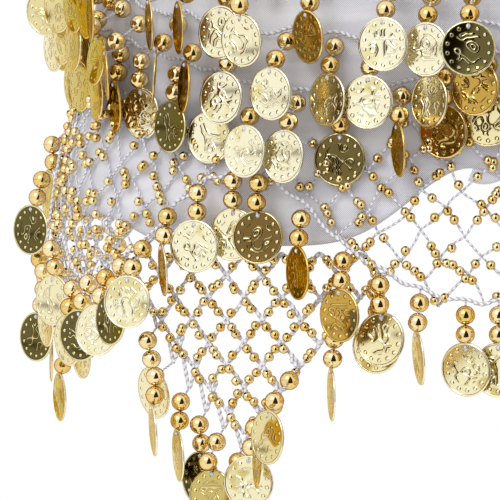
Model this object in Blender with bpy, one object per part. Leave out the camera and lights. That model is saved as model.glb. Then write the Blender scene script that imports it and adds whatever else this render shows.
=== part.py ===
# Coin hip scarf, worn: a chiffon wrap tied round the hips, hung with three rows of coin strands
# and two tiers of beaded crochet net with coin strands along their edges.
# Sizes are millimetres and are turned to metres when a mesh is made. +Z is up and the front
# faces -Y. The origin is on the hips' axis, at the level where the tied band grips them.
# "along" is the length round the hips from the front centre, positive to the wearer's left.
# "out" is the distance out from the cloth's inner face.

import bmesh
import bpy
import numpy as np

MM = 0.001


def table(columns, rows):
    return dict(zip(columns.split(), np.array(rows, float).T))


# Hips of a general figure: half sizes of the cloth's inner face at each level
HIP_SECTIONS = table("level half_width half_depth", (
    (-110, 174, 120),
    (-90, 171, 119),
    (-60, 165, 116),
    (-30, 161, 112),
    (0, 158, 109),
    (30, 154, 106),
))
MEAN_HALF_WIDTH = 170
MEAN_HALF_DEPTH = 118

# Chiffon wrap
WALL = 1.2
REPEATS = 6
HALF_REPEAT = 4  # columns of the cloth's mesh in half a repeat
COLUMNS = 2 * HALF_REPEAT * REPEATS
BAND_TOP = 30
HEM_LOW = -112
POINT_ALONG = -32  # along of the net point nearest the front centre
KNOT_REACH = 85
KNOT_TOP_DROP = 24
KNOT_HEM_RISE = 62
KNOT_FOLD = 2.6
KNOT_FOLDS = 2
# How far the hem rises over each point of the first net
HEM_RISES = table("along rise", (
    (-260, 6),
    (-184, 4),
    (-110, 20),
    (-32, 26),
    (120, 17),
    (260, 14),
))
FOLDS = table("down out", (
    (0.00, 0.0),
    (0.10, 0.6),
    (0.22, -0.3),
    (0.36, 0.5),
    (0.50, -0.2),
    (0.62, 0.6),
    (0.76, -0.3),
    (0.88, 0.4),
    (1.00, 0.0),
))
# The back is worn higher than the front
LIFT = table("away rise", (
    (0, 0),
    (140, 0),
    (190, 8),
    (240, 26),
))

# Coin strands, as depths below the root on the braid
BEAD_RADIUS = 3.1
NECK_HALF = 0.6
COIN_HALF_THICKNESS = 0.5
FIRST_BEAD = 4.3
BETWEEN_BEADS = 7.5
SECOND_BEAD = 10.7
COIN_HOLE = 13.6
COIN_DROP = 22.4
COIN_OUTLINE = table("up half", (
    (5.0, 7.5),
    (-4.0, 8.2),
    (-9.0, 3.6),
))
BRAID_DEEP = 1.6
BRAID_HIGH = 1.5
ROOT_HALF = 0.9
BRAID_PARTS = 4
GAP = 0.35
OUT_STEP = 0.25
CLOTH_FACE = 1.8
BEAD_SPAN = 2.4
COIN_RADIUS = 0.75
COIN_CLEAR = 0.8
LINK_RADIUS = 1.2
NEAR = 30
MOST_STEPS = 140
SMALL = 1e-9

# Strands in view: place round the hips, the coin's level and the way that it faces, in
# degrees from the front. The rest of each row follows the row's own level line.
ROW_A = table("along level faces", (
    (-202, -27, -60),
    (-187, -28, -66),
    (-171, -31, -70),
    (-159.5, -33, -77),
    (-144.5, -36, -84),
    (-129.5, -38, -78),
    (-115, -40, -35),
    (-105.5, -43, -41),
    (-86.5, -42, -58),
    (-59.5, -45, -27),
    (-45.5, -47, -40),
    (-31.5, -47, -4),
))
ROW_B = table("along level faces", (
    (-208, -38, -60),
    (-193, -41, -70),
    (-181.5, -44, -66),
    (-172, -47, -65),
    (-158, -53, -85),
    (-141, -54, -88),
    (-127, -58, -73),
    (-113.5, -62, -39),
    (-96, -61, -38),
    (-79.5, -63, -48),
    (-65, -64, -29),
    (-44.5, -64, -48),
    (-29.5, -60, -35),
))
ROW_C = table("along level faces", (
    (-226.5, -52, -80),
    (-214.5, -53, -70),
    (-201, -55, -63),
    (-183, -59, -73),
    (-169, -63, -75),
    (-157, -66, -45),
    (-139.5, -71, -56),
    (-124, -75, -37),
    (-105, -80, -40),
    (-91, -82, -37),
    (-75, -83, -24),
    (-54.5, -80, -77),
    (-40.5, -74, -29),
    (-26, -70, -22),
))
LEVELS_A = table("away level", (
    (0, -48),
    (110, -43),
    (160, -37),
    (200, -29),
    (240, -25),
))
LEVELS_B = table("away level", (
    (0, -60),
    (70, -64),
    (130, -60),
    (160, -54),
    (200, -43),
    (240, -38),
))
LEVELS_C = table("away level", (
    (0, -70),
    (30, -71),
    (60, -79),
    (90, -83),
    (130, -76),
    (160, -67),
    (200, -55),
    (240, -51),
))
ROW_START = -332
ROW_END = 268
ROW_PITCH = 21
FACES_OFF = (14, 26, 9, 38, 18, 52, 12, 30)  # degrees that hidden coins face off the cloth
BRAID_OUT = 2.6

# First tier: a net on the chiffon, with a zigzag edge that coin strands hang from
EDGE = table("off level", (
    (0, -132),
    (17, -127.5),
    (42, -113),
    (58, -99.5),
    (76, -87),
))
TIER_START = -1
TIER_COUNT = 4
TIER_OUT = 2.4
TIER_WALL = 1.2
TIER_ROWS = 4
TIER_TOP_OVER_COIN = 5
TIER_EDGE_UP = 0.8
TIER_LEAST_HIGH = 6
TIER_SIDE_GAP = 0.4
TIER_FACE = TIER_OUT + TIER_WALL
EDGE_OUT = 4.5
EDGE_PITCH = 17
EDGE_STRANDS = table("along level faces", (
    (-230, -93, -73),
    (-220.5, -106, -43),
    (-211, -139, -71),
    (-193, -131, -47),
    (-181.5, -145, -60),
    (-171.5, -143, -37),
    (-162, -141, -34),
    (-152.5, -137, -54),
    (-143, -131, -28),
    (-133.5, -120, -80),
    (-122.5, -112, -23),
    (-110.5, -108, -30),
    (-100.5, -109, -21),
    (-85, -121, -70),
    (-70.5, -135, -49),
    (-58, -143, -33),
    (-46.5, -149, -84),
    (-32, -153, -25),
    (-21.5, -153, -34),
))

# Second tier: triangles of open diamond net that hang free below the hem
CELL_WIDE = 13.6
CELL_HIGH = 15.3
CORD_HALF = 1.4
CORD_DEEP = 1.6
NET_OUT = 0.2
NET_TOP = -112.8
FIRST_NET_ALONG = -108
VEE_DROP = 2.4
VEE_OUT = 2.2
VEE_FACE = 2.0
NETS = table("place cells", (
    (-1, 6),
    (0, 7),
    (1, 7),
    (2, 6),
))
VEE_STRANDS = table("step faces rise", (
    (-5, -54, 0.6),
    (-4, -84, -3.4),
    (-3, -80, -4.4),
    (-2, -49, -4.4),
    (-1, -29, -2.4),
    (0, -30, -1.4),
    (1, -21, 2.6),
    (2, -77, 2.6),
    (3, -56, 3.6),
    (5, -83, 2.1),
    (7, -33, 2.6),
))
HIDDEN_VEE_STEPS = (-5, -3, -2, 0, 2, 3, 5)

# Knot and the ends that hang from it
KNOT_HALF = (24, 14, 19)
KNOT_LEVEL = -6
KNOT_OUT = 18.6
KNOT_COLUMNS = 12
KNOT_ROWS = 8
END_LENGTH = 60
END_WIDE = (24, 46)
END_OUT = 10
END_SEAT = 0.3
END_WALL = 1.2
END_ROWS = 8
END_COLUMNS = 12
END_PLEATS = 3
END_PLEAT_DEEP = (5, 3)
ENDS = table("shift swing", (
    (-15, -14),
    (15, 12),
))

CHIFFON = ("chiffon", (0.60, 0.60, 0.65), 0.75, 0.0)
CROCHET = ("crochet_cord", (0.78, 0.78, 0.84), 0.8, 0.0)
GILT = ("gilt_brass", (0.83, 0.66, 0.30), 0.25, 1.0)


# Lengths round the hips, measured on the mean ellipse
hip_angles = np.radians(np.linspace(0, 360, 1441))
hip_across = MEAN_HALF_WIDTH * np.diff(np.sin(hip_angles))
hip_forward = MEAN_HALF_DEPTH * np.diff(np.cos(hip_angles))
hip_steps = np.hypot(hip_across, hip_forward)
hip_arcs = np.concatenate(([0], np.cumsum(hip_steps)))
ROUND = hip_arcs[-1]
REPEAT = ROUND / REPEATS
COLUMN = ROUND / COLUMNS
KNOT_ALONG = POINT_ALONG + ROUND / 2


def between(place, source, key, value):
    return np.interp(place, source[key], source[value])


def away(along):
    """Length from the front centre, the shorter way round."""
    return np.abs((np.asarray(along, float) + ROUND / 2) % ROUND - ROUND / 2)


def frame_at(along, level):
    """Point on the cloth's inner face, the tangent along it and the normal out of it."""
    angle = np.interp(np.mod(along, ROUND), hip_arcs, hip_angles)
    wide = between(level, HIP_SECTIONS, "level", "half_width")
    deep = between(level, HIP_SECTIONS, "level", "half_depth")
    sine, cosine = np.sin(angle), np.cos(angle)
    flat = np.zeros_like(sine * wide)
    point = np.stack((wide * sine, -deep * cosine, flat + level), -1)
    normal = np.stack((sine / wide, -cosine / deep, flat), -1)
    normal = normal / np.linalg.norm(normal, axis=-1, keepdims=True)
    tangent = np.stack((-normal[..., 1], normal[..., 0], flat), -1)
    return point, tangent, normal


def place(along, level, out):
    point, _, normal = frame_at(along, level)
    return point + normal * np.asarray(out, float)[..., None]


# The cloth's levels

def near_knot(along):
    off = np.abs((np.asarray(along, float) - KNOT_ALONG + ROUND / 2) % ROUND - ROUND / 2)
    reach = np.clip(1 - off / KNOT_REACH, 0, 1)
    return reach * reach * (3 - 2 * reach)


def lift(along):
    return between(away(along), LIFT, "away", "rise")


def off_point(along):
    """Distance to the nearest net point."""
    return np.abs((np.asarray(along, float) - POINT_ALONG + REPEAT / 2) % REPEAT - REPEAT / 2)


def hem_level(along):
    crest = (0.5 + 0.5 * np.cos(2 * np.pi * off_point(along) / REPEAT)) ** 3
    near_front = (np.asarray(along, float) + ROUND / 2) % ROUND - ROUND / 2
    rise = between(near_front, HEM_RISES, "along", "rise") * crest
    return HEM_LOW + rise * (1 - near_knot(along)) + lift(along) + KNOT_HEM_RISE * near_knot(along)


def top_level(along):
    return BAND_TOP + 0.5 * lift(along) - KNOT_TOP_DROP * near_knot(along)


def edge_level(along):
    return between(off_point(along), EDGE, "off", "level") + lift(along)


# Making meshes

def material(look):
    name, colour, roughness, metallic = look
    found = bpy.data.materials.get(name)
    if found:
        return found
    made = bpy.data.materials.new(name)
    made.use_nodes = True
    shader = made.node_tree.nodes["Principled BSDF"]
    shader.inputs["Base Color"].default_value = (*colour, 1)
    shader.inputs["Roughness"].default_value = roughness
    shader.inputs["Metallic"].default_value = metallic
    made.diffuse_color = (*colour, 1)
    return made


def add_object(name, points, faces, look):
    mesh = bpy.data.meshes.new(name)
    mesh.from_pydata((np.asarray(points, float) * MM).tolist(), [], faces)
    mesh.materials.append(material(look))
    made = bpy.data.objects.new(name, mesh)
    bpy.context.scene.collection.objects.link(made)
    return made


def add_wall(name, points, faces, thickness, look):
    """A sheet whose faces point out, thickened outwards."""
    made = add_object(name, points, faces, look)
    wall = made.modifiers.new("Wall", "SOLIDIFY")
    wall.thickness = thickness * MM
    wall.offset = 1
    wall.use_even_offset = False
    return made


def add_closed(name, points, faces, look):
    made = add_object(name, points, faces, look)
    shape = bmesh.new()
    shape.from_mesh(made.data)
    bmesh.ops.recalc_face_normals(shape, faces=shape.faces)
    shape.to_mesh(made.data)
    shape.free()
    return made


def grid_faces(rows, columns, closed=False):
    """Faces of a grid of points whose rows go down and whose columns go along, facing out."""
    faces = []
    for row in range(rows - 1):
        for column in range(columns if closed else columns - 1):
            after = (column + 1) % columns
            above, below = row * columns, (row + 1) * columns
            faces.append((above + column, below + column, below + after, above + after))
    return faces


# The pieces

def chiffon_wrap():
    along = POINT_ALONG + COLUMN * np.arange(COLUMNS)
    down = FOLDS["down"][:, None]
    level = top_level(along) + (hem_level(along) - top_level(along)) * down
    gathered = KNOT_FOLD * np.sin(2 * np.pi * KNOT_FOLDS * down) * near_knot(along)
    out = FOLDS["out"][:, None] * (1 - near_knot(along)) + gathered
    points = place(np.broadcast_to(along, level.shape), level, out)
    faces = grid_faces(len(down), COLUMNS, closed=True)
    add_wall("chiffon_wrap", points.reshape(-1, 3), faces, WALL, CHIFFON)


def turned_axes(faces, tangent):
    """The coin's flat direction and its normal, turned by quarters to lie nearest the tangent."""
    angle = np.radians(faces)
    flat = np.array((np.cos(angle), np.sin(angle), 0))
    normal = np.array((np.sin(angle), -np.cos(angle), 0))
    choices = (
        (flat, normal, False),
        (normal, -flat, True),
        (-flat, -normal, False),
        (-normal, flat, True),
    )
    return max(choices, key=lambda choice: choice[0] @ tangent)


def square_ring(centre, first, second, half_first, half_second):
    signs = ((-1, -1), (-1, 1), (1, 1), (1, -1))
    return [centre + a * half_first * first + b * half_second * second for a, b in signs]


def round_ring(centre, tangent, normal, radius):
    across, deep = radius * tangent, radius * normal
    return [centre - across, centre + deep, centre + across, centre - deep]


def strand_rings(strand):
    """Rings down a strand: bead, neck, bead, coin hole and the coin's outline."""
    along, root = strand["along"], strand["level"] + COIN_DROP
    _, tangent, normal = frame_at(along, root)
    first_out, second_out, coin_out = strand["outs"]
    steps = (
        (FIRST_BEAD, first_out, BEAD_RADIUS),
        (BETWEEN_BEADS, 0.5 * (first_out + second_out), NECK_HALF),
        (SECOND_BEAD, second_out, BEAD_RADIUS),
    )
    rings = [
        round_ring(place(along, root - depth, out), tangent, normal, radius)
        for depth, out, radius in steps
    ]
    first, second, swapped = turned_axes(strand["faces"], tangent)
    hole = place(along, root - COIN_HOLE, coin_out)
    rings.append(square_ring(hole, first, second, NECK_HALF, NECK_HALF))
    centre = place(along, strand["level"], coin_out)
    for up, half in zip(COIN_OUTLINE["up"], COIN_OUTLINE["half"]):
        sizes = (COIN_HALF_THICKNESS, half) if swapped else (half, COIN_HALF_THICKNESS)
        rings.append(square_ring(centre + np.array((0, 0, up)), first, second, *sizes))
    return rings


# Hanging the strands. Each bead and coin hangs against the cloth, or against what hangs there
# already. Seen from above, each is a line with a radius, and it spans some levels.

hung = []


def point_gap(point, line):
    step = line[1] - line[0]
    share = np.clip((point - line[0]) @ step / max(step @ step, SMALL), 0, 1)
    return np.hypot(*(point - line[0] - share * step))


def side_of(line, point):
    step, off = line[1] - line[0], point - line[0]
    return step[0] * off[1] - step[1] * off[0]


def line_gap(a, b):
    """Distance between two lines in the plan, none if they cross."""
    if side_of(a, b[0]) * side_of(a, b[1]) < 0 and side_of(b, a[0]) * side_of(b, a[1]) < 0:
        return 0
    return min(point_gap(a[0], b), point_gap(a[1], b), point_gap(b[0], a), point_gap(b[1], a))


def clears(piece, others):
    """Whether a piece keeps the gap to each other one whose levels it shares."""
    for other in others:
        apart = other["low"] > piece["high"] + GAP or other["high"] < piece["low"] - GAP
        if not apart and line_gap(piece["line"], other["line"]) < piece["radius"] + other["radius"] + GAP:
            return False
    return True


def hang(along, level, span, reach, radius, face, least=0):
    """Moves a piece out from the face, and from the least distance, until it clears the rest."""
    point, _, normal = frame_at(along, level)
    point, normal = point[:2], normal[:2]
    others = [other for other in hung if np.hypot(*(other["line"].mean(0) - point)) < NEAR]
    nearest = max(face + GAP + radius + abs(reach @ normal), least)
    low, high = level + span[0], level + span[1]
    for out in nearest + OUT_STEP * np.arange(MOST_STEPS):
        centre = point + out * normal
        piece = dict(line=np.array((centre - reach, centre + reach)), radius=radius, low=low, high=high)
        if clears(piece, others):
            break
    return out, piece


def hang_strand(strand):
    """The coin takes its place first. The beads hang on the straight line from the root to it."""
    along, level, face, start = strand["along"], strand["level"], strand["face"], strand["braid_out"]
    root = level + COIN_DROP
    angle = np.radians(strand["faces"])
    flat = np.array((np.cos(angle), np.sin(angle))) * COIN_OUTLINE["half"].max()
    coin_span = (COIN_OUTLINE["up"].min(), COIN_DROP - COIN_HOLE)
    coin_out, coin = hang(along, level, coin_span, flat, COIN_RADIUS, face + COIN_CLEAR)
    strand["outs"], made = [], []
    link = place(along, root, start)[:2], root - ROOT_HALF
    for depth in (FIRST_BEAD, SECOND_BEAD):
        least = start + (coin_out - start) * depth / COIN_HOLE
        span = (-BEAD_SPAN, BEAD_SPAN)
        out, bead = hang(along, root - depth, span, np.zeros(2), BEAD_RADIUS, face, least)
        strand["outs"].append(out)
        made += [bead, link_piece(link, bead)]
        link = bead["line"][0], root - depth
    strand["outs"].append(coin_out)
    hung.extend(made + [coin, link_piece(link, coin)])


def link_piece(link, piece):
    """The neck from one piece of a strand down to the next."""
    line = np.array((link[0], piece["line"].mean(0)))
    return dict(line=line, radius=LINK_RADIUS, low=piece["high"], high=link[1])


def hang_braid(strands):
    """The braid is a row of short lines from root to root."""
    along = np.array([strand["along"] for strand in strands])
    root = np.array([strand["level"] + COIN_DROP for strand in strands])
    parts = np.linspace(0, len(strands) - 1, BRAID_PARTS * (len(strands) - 1) + 1)
    at = np.interp(parts, range(len(strands)), along)
    levels = np.interp(parts, range(len(strands)), root)
    points = place(at, levels, strands[0]["braid_out"] + 0.5 * BRAID_DEEP)[:, :2]
    for index in range(len(parts) - 1):
        low, high = sorted(levels[index:index + 2])
        line = points[index:index + 2]
        hung.append(dict(line=line, radius=0.5 * BRAID_DEEP, low=low, high=high + BRAID_HIGH))


def braid_ring(along, root, out):
    inner = place(along, root, out)
    outer = place(along, root, out + BRAID_DEEP)
    top = place(along, root + BRAID_HIGH, out + 0.5 * BRAID_DEEP)
    return [inner, outer, top]


def fringe(name, strands):
    """A narrow braid of triangular section, with a strand fused under it at each root."""
    points, faces = [], []
    before = None
    for strand in strands:
        root = strand["level"] + COIN_DROP
        start = len(points)
        for side in (-ROOT_HALF, ROOT_HALF):
            points += braid_ring(strand["along"] + side, root, strand["braid_out"])
        if before is None:
            faces.append((start, start + 1, start + 2))
        else:
            faces += bridge(before, range(start, start + 3))
        faces.append((start + 1, start + 4, start + 5, start + 2))
        faces.append((start + 2, start + 5, start + 3, start))
        before = range(start + 3, start + 6)
        last = [start, start + 1, start + 4, start + 3]
        for corners in strand_rings(strand):
            here = list(range(len(points), len(points) + 4))
            points += corners
            faces += bridge(last, here)
            last = here
        faces.append(tuple(last))
    faces.append(tuple(before))
    add_closed(name, points, faces, GILT)


def bridge(ring_a, ring_b):
    count = len(ring_a)
    return [
        (ring_a[i], ring_a[(i + 1) % count], ring_b[(i + 1) % count], ring_b[i])
        for i in range(count)
    ]


def strand_list(along, level, faces, braid_out, face):
    """Strands that hang from one braid, against a face this far out."""
    strands = [
        dict(along=here, level=height, faces=turn, braid_out=braid_out, face=face)
        for here, height, turn in zip(along, level, faces)
    ]
    hang_braid(strands)
    for strand in strands:
        hang_strand(strand)
    return strands


def facing(along, level, off):
    _, _, normal = frame_at(along, level)
    return np.degrees(np.arctan2(normal[..., 0], -normal[..., 1])) + off


def hidden_faces(along, level):
    off = np.resize(FACES_OFF, len(along))
    return facing(along, level, off)


def coin_row(name, seen, levels, face):
    """One row of strands round the hips: those in view by table, the others evenly spaced."""
    start, end = seen["along"].min(), seen["along"].max()
    left = np.arange(start - ROW_PITCH, ROW_START, -ROW_PITCH)[::-1]
    right = np.arange(end + ROW_PITCH, ROW_END, ROW_PITCH)
    lists = []
    for part in (left, right):
        level = between(away(part), levels, "away", "level")
        lists.append((part, level, hidden_faces(part, level)))
    along = np.concatenate((lists[0][0], seen["along"], lists[1][0]))
    level = np.concatenate((lists[0][1], seen["level"], lists[1][1]))
    faces = np.concatenate((lists[0][2], seen["faces"], lists[1][2]))
    strands = strand_list(along, level, faces, BRAID_OUT, face)
    fringe("coin_row_" + name, strands)


def tier_panel(index):
    """One point of the first net, from below a row of coins to the zigzag edge."""
    middle = POINT_ALONG + index * REPEAT
    along = middle + COLUMN * np.arange(-HALF_REPEAT, HALF_REPEAT + 1)
    along[0] += TIER_SIDE_GAP
    along[-1] -= TIER_SIDE_GAP
    top = between(away(along), LEVELS_C, "away", "level") + TIER_TOP_OVER_COIN
    bottom = np.minimum(edge_level(along) + TIER_EDGE_UP, top - TIER_LEAST_HIGH)
    down = np.linspace(0, 1, TIER_ROWS)[:, None]
    level = top + (bottom - top) * down
    points = place(np.broadcast_to(along, level.shape), level, np.full(level.shape, TIER_OUT))
    faces = grid_faces(TIER_ROWS, len(along))
    add_wall(f"first_net_{index - TIER_START + 1}", points.reshape(-1, 3), faces, TIER_WALL, CROCHET)


def edge_fringes():
    """Strands along the zigzag edge of the first net, one braid for each point."""
    seen = EDGE_STRANDS
    start, end = seen["along"].min(), seen["along"].max()
    left = np.arange(start - EDGE_PITCH, ROW_START, -EDGE_PITCH)[::-1]
    right = np.arange(end + EDGE_PITCH, ROW_END, EDGE_PITCH)
    hidden = np.concatenate((left, right))
    level = edge_level(hidden) - COIN_DROP
    rows = list(zip(hidden, level, hidden_faces(hidden, level)))
    rows += list(zip(seen["along"], seen["level"], seen["faces"]))
    rows.sort()
    for index in range(TIER_START, TIER_START + TIER_COUNT):
        middle = POINT_ALONG + index * REPEAT
        mine = [row for row in rows if middle - REPEAT / 2 <= row[0] < middle + REPEAT / 2]
        strands = strand_list(*zip(*mine), EDGE_OUT, TIER_FACE)
        fringe(f"first_net_fringe_{index - TIER_START + 1}", strands)


def net_place(middle, across, down):
    along = middle + across
    return place(along, NET_TOP + lift(along) - CORD_HALF - down, NET_OUT)


def open_net(index, middle, cells):
    """A triangle of diamond cells. Each crossing has four corners, and each cord joins two crossings."""
    corners, faces = {}, []
    points = []
    shifts = ((0, CORD_HALF), (CORD_HALF, 0), (0, -CORD_HALF), (-CORD_HALF, 0))

    def crossing(column, row):
        if (column, row) not in corners:
            corners[column, row] = len(points)
            for across, up in shifts:
                at = (column * CELL_WIDE / 2 + across, row * CELL_HIGH / 2 - up)
                points.append(net_place(middle, *at))
            start = len(points) - 4
            faces.append((start, start + 3, start + 2, start + 1))
        start = corners[column, row]
        return dict(up=start, right=start + 1, down=start + 2, left=start + 3)

    made = set()

    def cord(a, b, to_right):
        if (a, b) in made:
            return
        made.add((a, b))
        high, low = crossing(*a), crossing(*b)
        if to_right:
            faces.append((high["right"], high["down"], low["left"], low["up"]))
        else:
            faces.append((high["down"], high["left"], low["up"], low["right"]))

    for row in range(cells):
        for number in range(cells - row):
            column = 2 * number - (cells - 1 - row)
            top, bottom = (column, row), (column, row + 2)
            left, right = (column - 1, row + 1), (column + 1, row + 1)
            cord(top, right, True)
            cord(top, left, False)
            cord(left, bottom, True)
            cord(right, bottom, False)
    add_wall(f"open_net_{index}", points, faces, CORD_DEEP, CROCHET)


def vee_fringe(index, middle, cells, seen):
    """Strands on a braid along the two lower sides of an open net."""
    steps = VEE_STRANDS["step"] if seen else np.array(HIDDEN_VEE_STEPS, float)
    rise = VEE_STRANDS["rise"] if seen else 0
    along = middle + steps * CELL_WIDE / 2
    tip = NET_TOP + lift(along) - 2 * CORD_HALF - (cells + 1) * CELL_HIGH / 2
    root = tip + np.abs(steps) * CELL_HIGH / 2 - VEE_DROP + rise
    level = root - COIN_DROP
    faces = VEE_STRANDS["faces"] if seen else hidden_faces(along, level)
    strands = strand_list(along, level, faces, VEE_OUT, VEE_FACE)
    fringe(f"open_net_fringe_{index}", strands)


def knot():
    point, _, normal = frame_at(KNOT_ALONG, KNOT_LEVEL)
    centre = point + normal * KNOT_OUT
    mesh = bpy.data.meshes.new("knot")
    shape = bmesh.new()
    bmesh.ops.create_uvsphere(shape, u_segments=KNOT_COLUMNS, v_segments=KNOT_ROWS, radius=1)
    shape.to_mesh(mesh)
    shape.free()
    mesh.materials.append(material(CHIFFON))
    made = bpy.data.objects.new("knot", mesh)
    made.scale = np.array(KNOT_HALF) * MM
    made.location = centre * MM
    made.rotation_euler[2] = np.arctan2(normal[0], -normal[1])
    bpy.context.scene.collection.objects.link(made)


def knot_end(index, shift, swing):
    """A free end of the chiffon, pleated where it leaves the knot and wider below."""
    down = np.linspace(0, 1, END_ROWS)[:, None]
    across = np.linspace(-0.5, 0.5, END_COLUMNS)[None, :]
    wide = END_WIDE[0] + (END_WIDE[1] - END_WIDE[0]) * down
    deep = END_PLEAT_DEEP[0] + (END_PLEAT_DEEP[1] - END_PLEAT_DEEP[0]) * down
    along = KNOT_ALONG + shift + swing * down + wide * across
    level = KNOT_LEVEL - KNOT_HALF[2] - END_SEAT - END_LENGTH * down + 0 * across
    middle = END_OUT + (KNOT_OUT - END_OUT) * (1 - down) ** 2
    out = middle + deep * 0.5 * np.sin(2 * np.pi * END_PLEATS * (across + 0.5))
    points = place(along, level, out)
    faces = grid_faces(END_ROWS, END_COLUMNS)
    add_wall(f"knot_end_{index + 1}", points.reshape(-1, 3), faces, END_WALL, CHIFFON)


def main():
    for old in list(bpy.data.objects):
        bpy.data.objects.remove(old)
    chiffon_wrap()
    for number, (where, cells) in enumerate(zip(NETS["place"], NETS["cells"]), 1):
        middle = FIRST_NET_ALONG + where * REPEAT
        open_net(number, middle, int(cells))
        vee_fringe(number, middle, cells, seen=where == 0)
    for index in range(TIER_START, TIER_START + TIER_COUNT):
        tier_panel(index)
    edge_fringes()
    coin_row("c", ROW_C, LEVELS_C, TIER_FACE)
    coin_row("b", ROW_B, LEVELS_B, CLOTH_FACE)
    coin_row("a", ROW_A, LEVELS_A, CLOTH_FACE)
    knot()
    for index, (shift, swing) in enumerate(zip(ENDS["shift"], ENDS["swing"])):
        knot_end(index, shift, swing)


main()
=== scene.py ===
import math

import bpy
import numpy as np
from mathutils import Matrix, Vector


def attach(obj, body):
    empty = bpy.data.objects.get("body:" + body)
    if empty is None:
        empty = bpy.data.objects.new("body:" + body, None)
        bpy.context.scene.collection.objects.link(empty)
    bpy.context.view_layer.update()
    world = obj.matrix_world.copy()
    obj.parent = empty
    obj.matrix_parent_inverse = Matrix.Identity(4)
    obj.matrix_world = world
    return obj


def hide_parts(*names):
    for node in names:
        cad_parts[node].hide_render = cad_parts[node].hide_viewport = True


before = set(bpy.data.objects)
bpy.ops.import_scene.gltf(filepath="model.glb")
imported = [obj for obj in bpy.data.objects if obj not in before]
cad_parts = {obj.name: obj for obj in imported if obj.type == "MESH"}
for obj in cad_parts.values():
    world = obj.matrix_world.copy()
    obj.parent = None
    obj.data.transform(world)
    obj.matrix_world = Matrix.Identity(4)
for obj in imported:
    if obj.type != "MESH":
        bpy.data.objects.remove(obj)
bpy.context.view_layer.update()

# A coin hip scarf as worn. Sizes are in millimetres and turn to metres when a mesh is made.
# "along" is the length round the hips from the front centre, positive to the wearer's left.
# "out" is the distance out from the cloth's inner face.

mm = 0.001
chance = np.random.default_rng(7)


def table(columns, rows):
    # Each column's numbers by its name.
    return dict(zip(columns.split(), np.array(rows, float).T))


# Hips

hips = {
    "level": (-110, -90, -60, -30, 0, 30),
    "halfWidth": (174, 171, 165, 161, 158, 154),
    "halfDepth": (120, 119, 116, 112, 109, 106),
    "meanWidth": 170,
    "meanDepth": 118,
    "repeats": 6,
    "pointAlong": -32,
    "liftAway": (0, 140, 190, 240),
    "liftRise": (0, 0, 8, 26),
}
angles = np.radians(np.linspace(0, 360, 1441))
stepAcross = hips["meanWidth"] * np.diff(np.sin(angles))
stepForward = hips["meanDepth"] * np.diff(np.cos(angles))
steps = np.hypot(stepAcross, stepForward)
arcs = np.concatenate(([0], np.cumsum(steps)))
girth = arcs[-1]
repeat = girth / hips["repeats"]
knotAlong = hips["pointAlong"] + girth / 2


def wrapped(length, period):
    # The same length taken to within half a period of none.
    return (np.asarray(length, float) + period / 2) % period - period / 2


def frameAt(along, level):
    # Point on an ellipse of the level's half sizes, its tangent and its outward normal.
    angle = np.interp(np.mod(along, girth), arcs, angles)
    wide = np.interp(level, hips["level"], hips["halfWidth"])
    deep = np.interp(level, hips["level"], hips["halfDepth"])
    sine, cosine = np.sin(angle), np.cos(angle)
    flat = np.zeros_like(sine * wide)
    point = np.stack((wide * sine, -deep * cosine, flat + level), -1)
    normal = np.stack((sine / wide, -cosine / deep, flat), -1)
    normal = normal / np.linalg.norm(normal, axis=-1, keepdims=True)
    tangent = np.stack((-normal[..., 1], normal[..., 0], flat), -1)
    return point, tangent, normal


def place(along, level, out):
    # The point of the hips' form, moved out along its normal.
    point, _, normal = frameAt(along, level)
    return point + normal * np.asarray(out, float)[..., None]


def nearKnot(along):
    # 1 at the knot and 0 past its reach. Between them, three squares less two cubes of the share left.
    off = np.abs(wrapped(np.asarray(along) - knotAlong, girth))
    share = np.clip(1 - off / wrap["knotReach"], 0, 1)
    return share * share * (3 - 2 * share)


def away(along):
    # Length from the front centre, the shorter way round.
    return np.abs(wrapped(along, girth))


def lift(along):
    # How far the pattern rises towards the back, read from the table by the length away.
    return np.interp(away(along), hips["liftAway"], hips["liftRise"])


def offPoint(along):
    # Length from the nearest point of the zigzag.
    return np.abs(wrapped(np.asarray(along) - hips["pointAlong"], repeat))


# Meshes

def meshPiece(name, points, faces, looks, uv=None, marks=None):
    # A mesh from points and faces. Each array of faces has equal numbers of corners.
    listed = faces if isinstance(faces, list) else [faces]
    groups = [np.asarray(group) for group in listed]
    corners = np.concatenate([group.ravel() for group in groups])
    counts = np.concatenate([np.full(len(group), group.shape[1]) for group in groups])
    starts = np.concatenate(([0], np.cumsum(counts)[:-1]))
    mesh = bpy.data.meshes.new(name)
    mesh.vertices.add(len(points))
    mesh.vertices.foreach_set("co", (np.asarray(points, float) * mm).ravel())
    mesh.loops.add(len(corners))
    mesh.loops.foreach_set("vertex_index", corners.astype(np.int32))
    mesh.polygons.add(len(counts))
    mesh.polygons.foreach_set("loop_start", starts.astype(np.int32))
    mesh.polygons.foreach_set("loop_total", counts.astype(np.int32))
    if uv is not None:
        layer = mesh.uv_layers.new(name="UVMap")
        layer.data.foreach_set("uv", np.asarray(uv, float)[corners].ravel())
    for key, values in (marks or {}).items():
        mesh.attributes.new(key, "FLOAT", "POINT").data.foreach_set("value", np.asarray(values, float))
    for look in looks:
        mesh.materials.append(bpy.data.materials[look])
    mesh.polygons.foreach_set("use_smooth", np.full(len(counts), True))
    mesh.update()
    mesh.validate()
    made = bpy.data.objects.new(name, mesh)
    bpy.context.scene.collection.objects.link(made)
    return made


def settle(piece, slot, *nodes):
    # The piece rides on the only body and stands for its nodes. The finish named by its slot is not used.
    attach(piece, "root")
    if nodes:
        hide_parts(*nodes)
    return piece


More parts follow.
